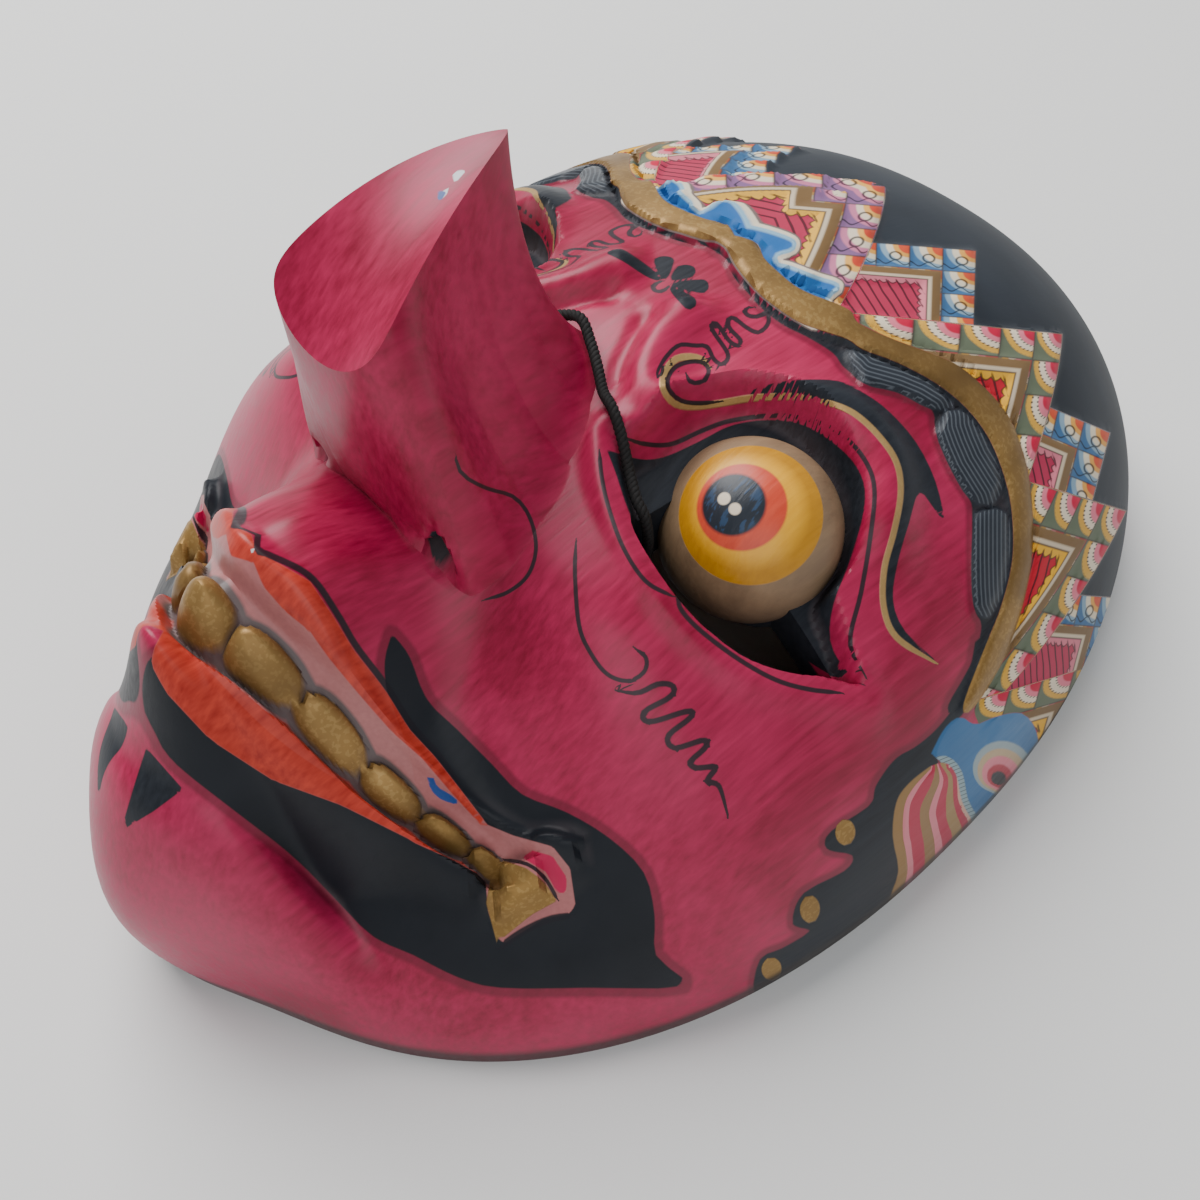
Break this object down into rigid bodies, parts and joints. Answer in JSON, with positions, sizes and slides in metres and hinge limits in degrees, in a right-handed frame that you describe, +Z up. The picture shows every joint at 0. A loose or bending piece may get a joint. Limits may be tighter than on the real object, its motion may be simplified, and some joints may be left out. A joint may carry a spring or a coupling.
{
  "type": "dance mask",
  "caption": "Carved and painted wooden dance mask with a long pointed nose, bulging eyes, bared teeth and a hollow back, lying face up with a cord round the bridge of its nose.",
  "frame": {"origin": "middle of the mask's length and width, on the surface that its rim lies on", "axes": "+Z up, out of the face and along the nose; +Y towards the crown; +X towards the side of the face that is nearer in the picture"},
  "size_m": [0.1422, 0.204, 0.107],
  "materials": {
    "painted_wood": "carved light wood, painted crimson, black, gold and blue, satin",
    "black_cord": "thin braided black cord, matte"
  },
  "bodies": {
    "root": {"mask": "painted_wood", "bridge_cord": "black_cord", "cord_knot": "black_cord"}
  },
  "joints": []
}
